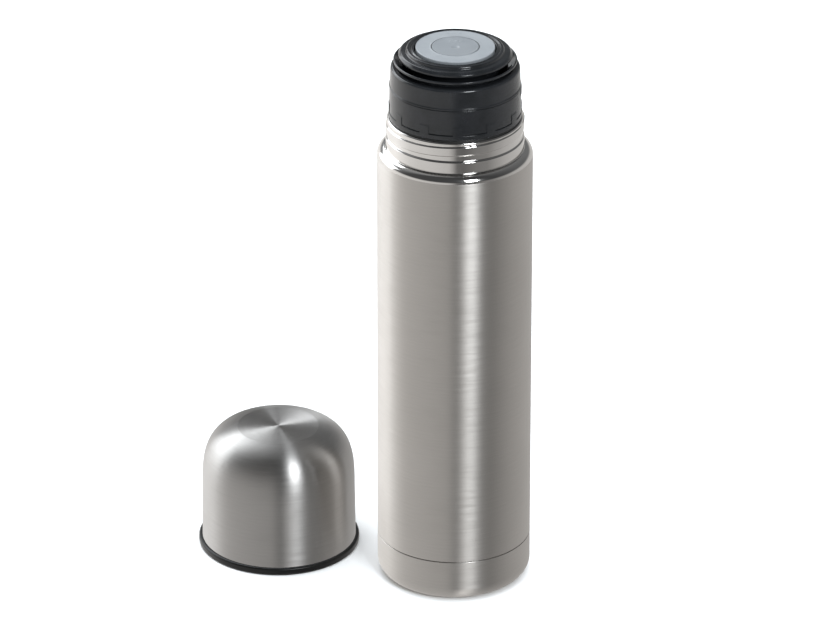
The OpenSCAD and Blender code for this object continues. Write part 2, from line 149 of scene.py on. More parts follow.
def rounded(points, steps=5):
    """A closed outline whose corners (r, z, radius) are rounded."""
    out = []
    count = len(points)
    for i, point in enumerate(points):
        here = Vector(point[:2])
        radius = point[2] if len(point) > 2 else 0
        back = Vector(points[i - 1][:2]) - here
        ahead = Vector(points[(i + 1) % count][:2]) - here
        if radius <= 0 or back.length < 1e-6 or ahead.length < 1e-6:
            out.append(tuple(here))
            continue
        turn = back.angle(ahead)
        if turn > math.pi - 0.02:
            out.append(tuple(here))
            continue
        reach = min(radius / math.tan(turn / 2), 0.48 * back.length, 0.48 * ahead.length)
        start = here + back.normalized() * reach
        end = here + ahead.normalized() * reach
        for k in range(steps + 1):
            t = k / steps
            out.append(tuple(start.lerp(here, t).lerp(here.lerp(end, t), t)))
    return out


def supported(points, hold=0.12, longest=6.0):
    """Adds points near both ends of long straight stretches, so that their shading stays flat."""
    out = []
    for a, b in zip(points, points[1:] + points[:1]):
        a, b = Vector(a), Vector(b)
        length = (b - a).length
        out.append(tuple(a))
        if length > 6 * hold:
            out.append(tuple(a.lerp(b, hold / length)))
            parts = max(1, int(length / longest))
            for k in range(1, parts):
                out.append(tuple(a.lerp(b, k / parts)))
            out.append(tuple(a.lerp(b, 1 - hold / length)))
    return out


def divided(a, b, parts):
    """The points that divide a stretch into equal parts, without its ends."""
    return [(a[0] + (b[0] - a[0]) * (k / parts), a[1] + (b[1] - a[1]) * (k / parts)) for k in range(1, parts)]


def dense(points, from_z, to_z, step=0.16):
    """Adds rows every step on upright stretches between two heights."""
    out = []
    for a, b in zip(points, points[1:] + points[:1]):
        out.append(a)
        upright = abs(a[0] - b[0]) < 0.35 * abs(a[1] - b[1])
        inside = from_z <= min(a[1], b[1]) + 0.01 and max(a[1], b[1]) <= to_z + 0.01
        if upright and inside:
            out += divided(a, b, int(abs(a[1] - b[1]) / step))
    return out


def fine_flat(points, from_r, to_r, step=0.14):
    """Adds rows every step on the disc's level stretches between two radii."""
    out = []
    for a, b in zip(points, points[1:] + points[:1]):
        out.append(a)
        level = abs(a[1] - b[1]) < 0.2 * abs(a[0] - b[0])
        inside = from_r <= max(a[0], b[0]) and min(a[0], b[0]) <= to_r and a[1] > disc_z - 1
        if level and inside:
            out += divided(a, b, int(abs(a[0] - b[0]) / step))
    return out


def with_rows(points, heights, least_r):
    """Adds rows at these heights on the rising outer stretches of an outline."""
    out = []
    for a, b in zip(points, points[1:] + points[:1]):
        out.append(a)
        low_z, high_z = sorted((a[1], b[1]))
        for z in heights:
            crossed = low_z + 0.05 < z < high_z - 0.05
            if crossed and min(a[0], b[0]) > least_r and out[-1][1] < z:
                t = (z - a[1]) / (b[1] - a[1])
                out.append((a[0] + (b[0] - a[0]) * t, z))
    return out


def smooth_step(x):
    x = min(1.0, max(0.0, x))
    return x * x * (3 - 2 * x)


# ---------------------------------------------------------------- meshes
def new_piece(name, verts, faces, materials):
    mesh = bpy.data.meshes.new(name)
    mesh.from_pydata(verts, [], faces)
    for material in materials:
        mesh.materials.append(material)
    piece = bpy.data.objects.new(name, mesh)
    bpy.context.collection.objects.link(piece)
    return piece


def ring_point(angle, r, z):
    return (r * math.cos(angle) * MM, r * math.sin(angle) * MM, z * MM)


def turned(name, outline, material, body, node, centre=(0, 0), angles=None, shape=None, pick=None,
           sharp=35):
    """A closed body of revolution. shape(angle, r, z) may move a point, and pick(r, z) chooses a material."""
    if angles is None:
        angles = np.linspace(0, TAU, SEGMENTS, endpoint=False)
    rows = len(outline)
    verts = []
    for angle in angles:
        for r, z in outline:
            if shape:
                r, z = shape(angle, r, z)
            verts.append(ring_point(angle, r, z))
    faces = []
    choice = []
    turns = len(angles)
    for i in range(turns):
        a, b = i * rows, ((i + 1) % turns) * rows
        for j in range(rows):
            k = (j + 1) % rows
            if outline[j][0] < 1e-6 and outline[k][0] < 1e-6:
                continue
            faces.append((a + j, b + j, b + k, a + k))
            if pick:
                mid_r = (outline[j][0] + outline[k][0]) / 2
                mid_z = (outline[j][1] + outline[k][1]) / 2
                choice.append(pick(mid_r, mid_z))
    piece = new_piece(name, verts, faces, material if isinstance(material, list) else [material])
    if pick:
        piece.data.polygons.foreach_set("material_index", choice)
    piece.location = (centre[0], centre[1], 0)
    finish_mesh(piece, sharp)
    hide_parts(node)
    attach(piece, body)
    return piece


def finish_mesh(piece, sharp):
    """Merges doubled points, points faces outwards, and shades smoothly up to the sharp angle, in degrees."""
    mesh = piece.data
    bm = bmesh.new()
    bm.from_mesh(mesh)
    bmesh.ops.remove_doubles(bm, verts=bm.verts, dist=1e-7)
    bmesh.ops.dissolve_degenerate(bm, edges=bm.edges, dist=1e-8)
    bmesh.ops.recalc_face_normals(bm, faces=bm.faces)
    for f in bm.faces:
        f.smooth = True
    bm.to_mesh(mesh)
    bm.free()
    mesh.set_sharp_from_angle(angle=math.radians(sharp))


# ---------------------------------------------------------------- materials
def new_material(name):
    mat = bpy.data.materials.new(name)
    mat.use_nodes = True
    nodes = mat.node_tree.nodes
    nodes.clear()
    out = nodes.new("ShaderNodeOutputMaterial")
    shader = nodes.new("ShaderNodeBsdfPrincipled")
    mat.node_tree.links.new(shader.outputs["BSDF"], out.inputs["Surface"])
    return mat, nodes, mat.node_tree.links, shader


def worked_out(nodes, links, operation, *values):
    """A Math node on values that are sockets or numbers."""
    node = nodes.new("ShaderNodeMath")
    node.operation = operation
    for socket, value in zip(node.inputs, values):
        if isinstance(value, (int, float)):
            socket.default_value = value
        else:
            links.new(value, socket)
    return node.outputs[0]


def vector_step(nodes, links, operation, vector):
    node = nodes.new("ShaderNodeVectorMath")
    node.operation = operation
    links.new(vector, node.inputs[0])
    return node


def around_axis(nodes, links, lines_per_metre, turns):
    """Coordinates that change quickly along the outline and slowly round the axis, for turned marks."""
    coords = nodes.new("ShaderNodeTexCoord")
    flat = vector_step(nodes, links, "MULTIPLY", coords.outputs["Object"])
    flat.inputs[1].default_value = (1, 1, 0)
    away = vector_step(nodes, links, "LENGTH", flat.outputs[0])
    unit = vector_step(nodes, links, "NORMALIZE", flat.outputs[0])
    slow = vector_step(nodes, links, "SCALE", unit.outputs[0])
    slow.inputs["Scale"].default_value = turns
    split = nodes.new("ShaderNodeSeparateXYZ")
    links.new(coords.outputs["Object"], split.inputs[0])
    along = worked_out(nodes, links, "SUBTRACT", away.outputs["Value"], split.outputs["Z"])
    fast = worked_out(nodes, links, "MULTIPLY", along, lines_per_metre)
    parts = nodes.new("ShaderNodeSeparateXYZ")
    links.new(slow.outputs[0], parts.inputs[0])
    joined = nodes.new("ShaderNodeCombineXYZ")
    links.new(parts.outputs["X"], joined.inputs["X"])
    links.new(parts.outputs["Y"], joined.inputs["Y"])
    links.new(fast, joined.inputs["Z"])
    return joined.outputs[0]


def noise(nodes, links, vector, scale, detail=3.0, roughness=0.55):
    tex = nodes.new("ShaderNodeTexNoise")
    tex.inputs["Scale"].default_value = scale
    tex.inputs["Detail"].default_value = detail
    tex.inputs["Roughness"].default_value = roughness
    links.new(vector, tex.inputs["Vector"])
    return tex.outputs["Fac"]


def spread(nodes, links, value, lowest, highest):
    """Maps the middle of a noise to a range."""
    ranged = nodes.new("ShaderNodeMapRange")
    ranged.inputs["From Min"].default_value = 0.3
    ranged.inputs["From Max"].default_value = 0.7
    ranged.inputs["To Min"].default_value = lowest
    ranged.inputs["To Max"].default_value = highest
    links.new(value, ranged.inputs["Value"])
    return ranged.outputs["Result"]


def blend_colours(nodes, links, value, first, second):
    mix = nodes.new("ShaderNodeMix")
    mix.data_type = "RGBA"
    mix.inputs["A"].default_value = (*first, 1)
    mix.inputs["B"].default_value = (*second, 1)
    links.new(value, mix.inputs["Factor"])
    return mix.outputs["Result"]


def bumped(nodes, links, shader, height, strength, distance):
    bump = nodes.new("ShaderNodeBump")
    bump.inputs["Strength"].default_value = strength
    bump.inputs["Distance"].default_value = distance
    links.new(height, bump.inputs["Height"])
    links.new(bump.outputs["Normal"], shader.inputs["Normal"])


def turned_steel(name, dark, light, rough_low, rough_high, anisotropy, bump, lines=900,
                 cloud_share=0.35):
    """Steel brushed round its axis: fine lines, a soft cloud of tone, and highlights drawn out along it."""
    mat, nodes, links, shader = new_material(name)
    shader.inputs["Metallic"].default_value = 1.0
    shader.inputs["Anisotropic"].default_value = anisotropy
    shader.inputs["Anisotropic Rotation"].default_value = 0.25
    tangent = nodes.new("ShaderNodeTangent")
    tangent.direction_type = "RADIAL"
    tangent.axis = "Z"
    links.new(tangent.outputs[0], shader.inputs["Tangent"])
    wound = around_axis(nodes, links, lines, 2.2)
    strokes = noise(nodes, links, wound, 1.0, 4.0, 0.7)
    coords = nodes.new("ShaderNodeTexCoord")
    cloud = noise(nodes, links, coords.outputs["Object"], 28.0, 2.0)
    lined = worked_out(nodes, links, "MULTIPLY", strokes, 1 - cloud_share)
    both = worked_out(nodes, links, "MULTIPLY_ADD", cloud, cloud_share, lined)
    tone = spread(nodes, links, both, 0, 1)
    links.new(blend_colours(nodes, links, tone, dark, light), shader.inputs["Base Color"])
    links.new(spread(nodes, links, strokes, rough_low, rough_high), shader.inputs["Roughness"])
    bumped(nodes, links, shader, strokes, bump, 0.00004)
    return mat


def polished_steel(name):
    """Bright rolled steel with faint turning marks and a soft cloud of tone."""
    mat, nodes, links, shader = new_material(name)
    shader.inputs["Metallic"].default_value = 1.0
    wound = around_axis(nodes, links, 700, 3.0)
    strokes = noise(nodes, links, wound, 1.0, 3.0, 0.6)
    coords = nodes.new("ShaderNodeTexCoord")
    cloud = noise(nodes, links, coords.outputs["Object"], 60.0, 3.0)
    tone = spread(nodes, links, cloud, 0, 1)
    links.new(blend_colours(nodes, links, tone, (0.66, 0.645, 0.625), (0.72, 0.705, 0.69)),
              shader.inputs["Base Color"])
    links.new(spread(nodes, links, strokes, 0.09, 0.12), shader.inputs["Roughness"])
    bumped(nodes, links, shader, strokes, 0.015, 0.00003)
    return mat


def moulded(name, dark, light, rough_low, rough_high, grain, bump, specular=0.5, coat=0.0):
    """Moulded plastic: slightly uneven tone and gloss, and fine grain."""
    mat, nodes, links, shader = new_material(name)
    shader.inputs["Specular IOR Level"].default_value = specular
    shader.inputs["Coat Weight"].default_value = coat
    shader.inputs["Coat Roughness"].default_value = 0.08
    coords = nodes.new("ShaderNodeTexCoord")
    cloud = noise(nodes, links, coords.outputs["Object"], 120.0, 3.0)
    fine = noise(nodes, links, coords.outputs["Object"], grain, 2.0)
    tone = spread(nodes, links, cloud, 0, 1)
    links.new(blend_colours(nodes, links, tone, dark, light), shader.inputs["Base Color"])
    links.new(spread(nodes, links, cloud, rough_low, rough_high), shader.inputs["Roughness"])
    bumped(nodes, links, shader, fine, bump, 0.00003)
    return mat


brushed = turned_steel("brushed_steel", (0.54, 0.52, 0.495), (0.63, 0.605, 0.58), 0.34, 0.42, 0.93, 0.2)
cup_steel = turned_steel("cup_steel", (0.425, 0.415, 0.405), (0.505, 0.493, 0.482), 0.34, 0.42, 0.93, 0.2)
plain = turned_steel("plain_steel", (0.5, 0.49, 0.48), (0.58, 0.57, 0.56), 0.3, 0.4, 0.5, 0.2)
polished = polished_steel("polished_steel")
gloss_black = moulded("gloss_black", (0.008, 0.009, 0.01), (0.013, 0.014, 0.016), 0.13, 0.2, 2600, 0.06)
soft_black = moulded("soft_black", (0.007, 0.007, 0.007), (0.013, 0.013, 0.013), 0.36, 0.46, 4200, 0.2)
grey = moulded("grey_plastic", (0.205, 0.22, 0.235), (0.235, 0.25, 0.265), 0.3, 0.4, 3800, 0.15)
dark_grey = moulded("grey_button", (0.16, 0.172, 0.185), (0.18, 0.194, 0.208), 0.3, 0.4, 3800, 0.15)
rim_black = moulded("rim_black", (0.0025, 0.0025, 0.0025), (0.005, 0.005, 0.005), 0.3, 0.38, 4200, 0.15, 0.35)
silicone = moulded("black_silicone", (0.008, 0.008, 0.008), (0.014, 0.014, 0.014), 0.5, 0.62, 5200, 0.2)
foil = turned_steel("bright_foil", (0.8, 0.8, 0.82), (0.9, 0.9, 0.92), 0.18, 0.3, 0.3, 0.6, 300)
solder = turned_steel("solder", (0.5, 0.49, 0.46), (0.6, 0.59, 0.56), 0.35, 0.5, 0.0, 0.4, 200)
sintered = moulded("sintered_metal", (0.1, 0.1, 0.105), (0.18, 0.18, 0.185), 0.6, 0.8, 6000, 0.6)
spring_wire = turned_steel("spring_wire", (0.5, 0.5, 0.5), (0.62, 0.62, 0.62), 0.2, 0.32, 0.4, 0.2)


# ---------------------------------------------------------------- steel flask
def thread_lift(angle, z, start_z, profile):
    """How far a right-hand thread's ridge stands out at a point. angle runs from 0 to 2 pi."""
    height, root_w, crest_w = profile
    best = 0.0
    for k in range(2):
        swept = angle + k * TAU
        if swept > THREAD_TURNS * TAU:
            continue
        off = abs(z - (start_z + LEAD * swept / TAU))
        side = smooth_step((root_w / 2 - off) / (root_w / 2 - crest_w / 2))
        ends = smooth_step(min(swept, THREAD_TURNS * TAU - swept) / math.radians(35))
        best = max(best, side * ends)
    return height * best


def outer_shell():
    swaged = body_r - SHEET - 0.1
    thread_z = lip_z - 7.75
    start = seam_top_z + 0.3
    outline = [(swaged, BASE_ROUND + 0.2), (swaged, start - 0.02)]
    outline += rounded([(swaged, start), (body_r, start, 0.25), (body_r, start + 4)])[1:-1]
    outline += arc(band_r, shoulder_z, SHOULDER_ROUND, 0, 84, 16)
    outline += arc(band_r + 0.2, band_low_z + 0.2, 0.2, 264, 180, 4)
    outline += rounded([(band_r, band_low_z + 1), (band_r, band_top_z, 0.5), (root_r, band_top_z + 0.6, 0.5),
                        (root_r, lip_z - 3)], 8)[1:-1]
    outline += arc(root_r - 0.55, lip_z - 0.8, 0.8, -35, 90, 10)
    outline += [(mouth_r + SHEET + 0.05, lip_z), (mouth_r + SHEET + 0.05, lip_z - SHEET)]
    outline += [(root_r - SHEET, lip_z - 2 * SHEET), (root_r - SHEET, band_top_z + 0.8)]
    outline += [(band_r - SHEET, band_top_z + 0.2)]
    outline += arc(band_r, shoulder_z, SHOULDER_ROUND - SHEET, 90, 0, 8)
    outline += [(body_r - SHEET, seam_top_z + 1.2)]
    outline += [(swaged - SHEET, start), (swaged - SHEET, BASE_ROUND + 0.2)]
    outline = dense(supported(outline), band_top_z + 0.5, lip_z - 0.4)

    def rolled(angle, r, z):
        if r > root_r - 0.3 and band_top_z < z < lip_z:
            lift = thread_lift(angle, z, thread_z, NECK_THREAD)
            return max(r, root_r + lift) if z < lip_z - 0.8 else r + lift, z
        return r, z

    def finish(r, z):
        return 0 if z < shoulder_z + 0.3 else 1

    return turned("steel_body", outline, [brushed, polished], "flask", "outer_shell",
                  shape=rolled, pick=finish, sharp=50)


def base_cap():
    foot = body_r - BASE_ROUND
    outline = [(0, 1.4), (foot - 5.2, 1.4), (foot - 4.2, 1.1), (foot - 3.3, 0.25), (foot - 2.6, 0)]
    outline += arc(foot, BASE_ROUND, BASE_ROUND, -90, 0, 18)
    outline += rounded([(body_r, BASE_ROUND + 2), (body_r, seam_top_z, 0.22), (body_r - SHEET, seam_top_z),
                        (body_r - SHEET, BASE_ROUND)])[1:-1]
    outline += arc(foot, BASE_ROUND, BASE_ROUND - SHEET, 0, -90, 12)
    outline += [(foot - 3, SHEET), (foot - 4.4, 2), (0, 2)]
    return turned("steel_base", supported(outline), brushed, "flask", "base_cap", sharp=50)


def inner_bottle():
    inner = high("inner_bottle").x - SHEET
    low_z = low("inner_bottle").z
    seat_z = lip_z - 18
    throat = mouth_r - 3.9
    thread_z = lip_z - 10
    outline = rounded([
        (inner, low_z), (inner + SHEET, low_z), (inner + SHEET, seat_z - 13.2, 2),
        (throat + SHEET, seat_z - 5.8, 2), (throat + SHEET, seat_z - 3.3, 1),
        (mouth_r + SHEET, seat_z - 0.3, 1), (mouth_r + SHEET, lip_z, 0.1), (mouth_r, lip_z, 0.25),
        (mouth_r, seat_z, 1), (throat, seat_z - 3, 1), (throat, seat_z - 6, 2), (inner, seat_z - 13.5, 2)])
    outline = dense(supported(outline), seat_z, lip_z - 0.3, 0.3)

    def threaded(angle, r, z):
        if mouth_r - 0.2 < r < mouth_r + 0.2 and seat_z < z < lip_z - 0.3:
            return r - thread_lift(angle, z, thread_z, STOPPER_THREAD), z
        return r, z

    return turned("inner_bottle_skin", outline, plain, "flask", "inner_bottle", shape=threaded)


# ---------------------------------------------------------------- stopper
def tab_angles(width, radius):
    """Angles round the ring, with close pairs at both sides of every tab."""
    half = math.asin(width / 2 / radius)
    edge = math.radians(0.12)
    angles = list(np.linspace(0, TAU, SEGMENTS, endpoint=False))
    for i in range(TAB_COUNT):
        middle = math.radians(TAB_START) + i * TAU / TAB_COUNT
        for side in (-1, 1):
            for shift in (-edge, edge):
                angles.append((middle + side * half + shift) % TAU)
    return sorted(set(round(a, 6) for a in angles))


def in_tab(angle, width, radius):
    half = math.asin(width / 2 / radius)
    step = TAU / TAB_COUNT
    off = (angle - math.radians(TAB_START) + step / 2) % step - step / 2
    return abs(off) < half


def key_ring():
    inner = 28.35
    ring_r = collar_r + 0.1
    top = collar_low_z - 0.15
    outline = rounded([(inner, ring_low_z), (ring_r, ring_low_z, 0.6), (ring_r, top, 0.28), (inner, top)], 6)
    outline = supported(outline, 0.08)

    def tabbed(angle, r, z):
        if z > top - 0.3 and in_tab(angle, TAB_W, collar_r):
            return r, z + tab_top_z - top
        return r, z

    return turned("locking_ring", outline, gloss_black, "stopper", "key_ring",
                  angles=tab_angles(TAB_W, collar_r), shape=tabbed, sharp=30)


def head_collar():
    wall = 1.5
    top_r = collar_r - 0.8
    mid_z = lip_z + 15.5
    base_r = collar_r - 0.12
    low_z = collar_low_z + 0.08
    outline = rounded([
        (base_r - wall, low_z), (base_r, low_z, 0.3), (collar_r - 0.3, mid_z - 0.75, 0.2),
        (collar_r - 0.62, mid_z - 0.5, 0.12), (collar_r - 0.1, mid_z - 0.2, 0.2),
        (collar_r - 0.14, mid_z + 0.3, 0.2), (collar_r - 0.45, mid_z + 0.6, 0.2), (top_r, collar_top_z, 2.4),
        (26.2, collar_top_z + 0.02, 0.4), (25.7, collar_top_z - 2.2),
        (base_r - wall, collar_top_z - 3.4)], 10)
    outline = supported(outline, 0.1)
    notch_w = TAB_W + 0.3
    notch_z = tab_top_z + 0.15
    outline = with_rows(outline, (notch_z + 0.45, mid_z - 3.7, mid_z - 3.5, mid_z - 0.6), base_r - 1)

    def notched(angle, r, z):
        off = (angle + math.pi) % TAU - math.pi
        lug = smooth_step((math.radians(11) - abs(off)) / math.radians(1.5))
        if r > base_r - 1 and mid_z - 3.6 < z < mid_z - 0.5:
            r = r + 0.32 * lug
        if z < collar_low_z + 0.35 and in_tab(angle, notch_w, collar_r):
            z = z + notch_z - collar_low_z
        return r, z

    return turned("collar", outline, gloss_black, "stopper", "head_collar",
                  angles=tab_angles(notch_w, collar_r), shape=notched, sharp=30)


def pour_lip():
    foot = TUBE_OUT_R + 0.4
    outline = rounded([
        (TUBE_IN_R, spout_low_z), (foot, spout_low_z), (foot, spout_low_z + 1.3, 0.5),
        (spout_r - 1.1, spout_top_z - 1.5, 0.5), (spout_r - 0.05, spout_top_z - 1.0, 0.4),
        (spout_r, spout_top_z - 0.1, 0.35), (spout_r - 0.7, spout_top_z, 0.4),
        (TUBE_OUT_R, spout_low_z + 2.6, 0.6), (TUBE_IN_R, spout_low_z + 1.2, 0.4)], 8)
    return turned("drip_lip", supported(outline, 0.06), gloss_black, "stopper", "pour_lip")


def top_cap():
    flange_top = disc_z - DISC_T
    flange_low = disc_z - 4.5
    well = release_r + 0.4
    well_out = well + 1.8
    guide = STEM_GUIDE_R
    guide_out = guide + 1.55
    guide_top = disc_z - 7.9
    boss_in = guide + 1.6
    boss_r = guide + 3.1
    boss_low = low("top_cap").z
    floor_z = disc_z - WELL_DEPTH
    under_z = floor_z - 1.7
    outline = rounded([
        (guide, guide_top, 0.1), (guide, floor_z - 2.7), (boss_in, floor_z - 2.7), (boss_in, boss_low),
        (boss_r, boss_low, 0.3), (boss_r, under_z, 0.6), (well_out, under_z, 1.2),
        (well_out, flange_low, 0.8), (cap_r - 0.1, flange_low, 0.5), (cap_r, flange_low + 1.2, 0.5),
        (cap_r - 1.0, flange_top, 0.9),
        (CAP_RING_R + 0.35, flange_top + 0.25, 0.4), (CAP_RING_R, cap_top_z, 0.65),
        (CAP_RING_R - 1.35, cap_top_z, 0.45), (CAP_RING_R - 1.7, cap_top_z - 0.55, 0.25),
        (CAP_RING_R - 2.3, cap_top_z - 0.1, 0.4), (well + 0.25, cap_top_z - 0.15, 0.4), (well, floor_z, 0.3),
        (guide_out, floor_z, 0.3), (guide_out, guide_top, 0.2)], 7)
    return turned("cap_top", supported(outline, 0.07), gloss_black, "stopper", "top_cap")


def lip_gasket():
    inner = 26.35
    outline = rounded([(inner, gasket_low_z, 0.2), (gasket_r, gasket_low_z, 0.3),
                       (gasket_r, gasket_top_z, 0.3), (inner, gasket_top_z, 0.2)])
    return turned("lip_seal", supported(outline, 0.1), silicone, "gasket", "lip_gasket")


def stopper_plug():
    plug_r = mouth_r - 2.8
    nose_r = mouth_r - 5.3
    nose_in = nose_r - 2
    nose_top = lip_z - 17.4
    nose_floor = plug_low_z + 2.2
    flange_z = gasket_top_z + 0.05
    flange_top = flange_z + 2.4
    tube_top = spout_low_z - 0.05
    thread_z = lip_z - 12.5
    outline = rounded([
        (SEAT_HOLE_R, plug_low_z, 0.3), (nose_r, plug_low_z, 0.6), (nose_r, nose_top, 0.2),
        (plug_r, nose_top + 1.5, 0.5), (plug_r, flange_z), (PLUG_FLANGE_R, flange_z),
        (PLUG_FLANGE_R, flange_top), (TUBE_OUT_R, flange_top, 0.3), (TUBE_OUT_R, tube_top),
        (TUBE_IN_R, tube_top), (TUBE_IN_R, nose_top + 2, 0.5), (nose_in, nose_top, 0.5),
        (nose_in, nose_floor, 0.4), (SEAT_HOLE_R, nose_floor, 0.3)])
    outline = dense(supported(outline), nose_top + 1, flange_z - 0.1, 0.3)

    def threaded(angle, r, z):
        if plug_r - 0.1 < r < plug_r + 0.1 and nose_top + 1.2 < z < flange_z - 0.2:
            return r + thread_lift(angle, z, thread_z, STOPPER_THREAD), z
        return r, z

    return turned("threaded_plug", outline, soft_black, "stopper", "stopper_plug",
                  shape=threaded)


def mark_height(angle, r, middle_r, bars):
    """Height of a row of short raised bars at the back of a disc, from 0 to 1. Plain bars, no lettering."""
    best = 0.0
    for offset, width in bars:
        across = (angle - math.pi / 2) * middle_r - offset
        side = smooth_step((width / 2 - abs(across)) / 0.18 + 0.5)
        reach = smooth_step((0.55 - abs(r - middle_r)) / 0.18 + 0.5)
        best = max(best, side * reach)
    return best


def release_ring():
    inner = button_r + 0.35
    under_z = disc_z - DISC_T
    skirt_low = disc_z - 4.2
    skirt_in = release_r - 1.3
    dish = 0.1
    outline = rounded([
        (inner, disc_z, 0.16), (release_r, disc_z, 0.45), (release_r, under_z), (release_r - 0.1, skirt_low),
        (skirt_in, skirt_low), (skirt_in, under_z), (inner, under_z)], 8)
    outline = fine_flat(supported(outline, 0.08), 13.4, 16.4)
    bars = ((-4.6, 1.6), (-2.2, 1.6), (0.6, 2.2), (3.6, 2.2))

    def marked(angle, r, z):
        if z > disc_z - 0.05 and 13 < r < 16.6:
            return r, z - dish + dish * mark_height(angle, r, 15.0, bars)
        if z > disc_z - 0.9 and inner + 0.5 < r < release_r - 0.5:
            return r, z - dish
        return r, z

    return turned("button_ring", outline, grey, "release", "release_ring",
                  shape=marked, sharp=50)


def open_button():
    under_z = disc_z - DISC_T
    skirt_low = disc_z - 4.8
    skirt_in = button_r - 1.5
    hub_r = 5
    hub_low = under_z - 1
    dimple = [(0, disc_z - 0.8), (0.9, disc_z - 0.76, 0.4), (2.0, disc_z - 0.4, 0.35)]
    outline = rounded(dimple + [
        (button_r - 1.2, disc_z - 0.1, 1.2), (button_r - 0.35, disc_z, 0.3), (button_r, disc_z - 0.05, 0.16),
        (button_r, under_z), (button_r - 0.1, skirt_low, 0.2), (skirt_in, skirt_low, 0.2),
        (skirt_in, under_z, 0.3), (hub_r, under_z, 0.2), (hub_r, hub_low, 0.2), (0, hub_low)], 8)
    outline = fine_flat(supported(outline, 0.08), 5.4, 7.6)
    bars = ((-2.6, 1.3), (-0.8, 1.3), (1.6, 1.7))

    def marked(angle, r, z):
        if z > disc_z - 1 and 5 < r < 8:
            return r, z + 0.14 * mark_height(angle, r, 6.5, bars)
        return r, z

    return turned("centre_button", outline, dark_grey, "pour_button", "open_button",
                  shape=marked, sharp=50)


# ---------------------------------------------------------------- cup
def cup_curve(inset, steps=32):
    """The cup's outline from its wall to the edge of its flat top, moved inwards by inset."""
    wall_r = cup_mouth_r - 0.3
    power = 2 / CUP_CURVE_POWER
    edge = math.acos(((cup_h - inset - CUP_CURVE_LOW_Z) / (CUP_CURVE_H - inset)) ** (CUP_CURVE_POWER / 2))
    points = []
    for angle in np.linspace(math.pi / 2, edge, steps + 1):
        across = math.sin(angle) ** power
        up = max(0.0, math.cos(angle)) ** power
        points.append((CUP_CURVE_R + (wall_r - CUP_CURVE_R - inset) * across,
                       CUP_CURVE_LOW_Z + (CUP_CURVE_H - inset) * up))
    return points


def cup_shell():
    outline = [(cup_mouth_r - 0.06, cup_rim_h), (cup_mouth_r, cup_rim_h + 0.15)]
    outline += cup_curve(0)
    outline += [(0, cup_h), (0, cup_h - CUP_SHEET)]
    outline += cup_curve(CUP_SHEET)[::-1]
    outline += [(cup_mouth_r - CUP_SHEET, cup_rim_h)]
    return turned("cup_cover", supported(outline), cup_steel, "cup", "cup_shell",
                  centre=cup_centre[:2], sharp=60)


def cup_liner():
    outside = 0.6
    inside = 2.3
    mouth_in = cup_mouth_r - inside
    thread_z = 8.5
    rim_top = cup_rim_h - 0.05
    outline = rounded([(mouth_in + 0.2, 0, 0.5), (cup_rim_r, 0, 1.3), (cup_rim_r, rim_top, 1.0),
                       (cup_mouth_r - outside, rim_top, 0.1), (cup_mouth_r - outside, rim_top + 3)], 8)[:-1]
    outline += cup_curve(outside)
    outline += [(0, cup_h - outside), (0, cup_h - inside)]
    outline += cup_curve(inside)[::-1]
    outline += [(mouth_in, 18), (mouth_in, 3)]
    outline = dense(supported(outline), 3, 18, 0.3)

    def threaded(angle, r, z):
        if mouth_in - 0.1 < r < mouth_in + 0.1 and 3.5 < z < 17.5:
            return r - thread_lift(angle, z, thread_z, CUP_THREAD), z
        return r, z

    return turned("cup_lining", outline, rim_black, "cup", "cup_liner",
                  centre=cup_centre[:2], shape=threaded)


# ---------------------------------------------------------------- springs
def spring(name, node, body, wire_r):
    """A coil of round wire as tall and wide as its CAD part, which moves whole with its joint."""
    bottom, top = low(node).z, high(node).z
    coil_r = high(node).x - wire_r
    steps = round(COIL_TURNS * COIL_STEPS)
    verts = []
    for i in range(steps + 1):
        angle = TAU * i / COIL_STEPS
        middle = bottom + wire_r + (top - bottom - 2 * wire_r) * i / steps
        for j in range(WIRE_SIDES):
            side = TAU * j / WIRE_SIDES
            r = coil_r + wire_r * math.cos(side)
            z = middle + wire_r * math.sin(side)
            verts.append(ring_point(angle, r, z))
    faces = [tuple(range(i * WIRE_SIDES, (i + 1) * WIRE_SIDES)) for i in (0, steps)]
    for i in range(steps):
        a, b = i * WIRE_SIDES, (i + 1) * WIRE_SIDES
        for j in range(WIRE_SIDES):
            k = (j + 1) % WIRE_SIDES
            faces.append((a + j, b + j, b + k, a + k))
    piece = new_piece(name, verts, faces, [spring_wire])
    finish_mesh(piece, 50)
    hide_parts(node)
    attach(piece, body)
    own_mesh(piece)
    return piece


for make in (outer_shell, base_cap, inner_bottle, key_ring, head_collar, pour_lip, top_cap, lip_gasket,
             stopper_plug, release_ring, open_button, cup_shell, cup_liner):
    make()

spring("button_spring", "return_spring", "pour_button", BUTTON_WIRE_R)
spring("ring_spring", "release_spring", "release", RELEASE_WIRE_R)

# the cup and the flask are lit apart, so the cup doesn't darken the flask's reflections
for name in ("cup_cover", "cup_lining"):
    bpy.data.objects[name].visible_glossy = False

# pieces inside the flask and the stopper keep their CAD shape
KEPT = {
    "outer_bottom": plain, "vacuum_seal": solder, "inner_bottom": plain, "radiation_foil": foil,
    "getter": sintered, "plug_seal": silicone, "latch_sleeve": soft_black, "stem_seal": silicone,
    "valve_stem": soft_black, "valve_plate": soft_black, "valve_seal": silicone,
}
for node, material in KEPT.items():
    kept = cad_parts[node]
    kept.data.materials.clear()
    kept.data.materials.append(material)


# ---------------------------------------------------------------- camera, floor and light
CAMERA_PITCH = 26.0
CAMERA_AWAY = 2.942
CAMERA_LENS = 283.6
AIM = Vector((-0.019, 0.0, 0.132))

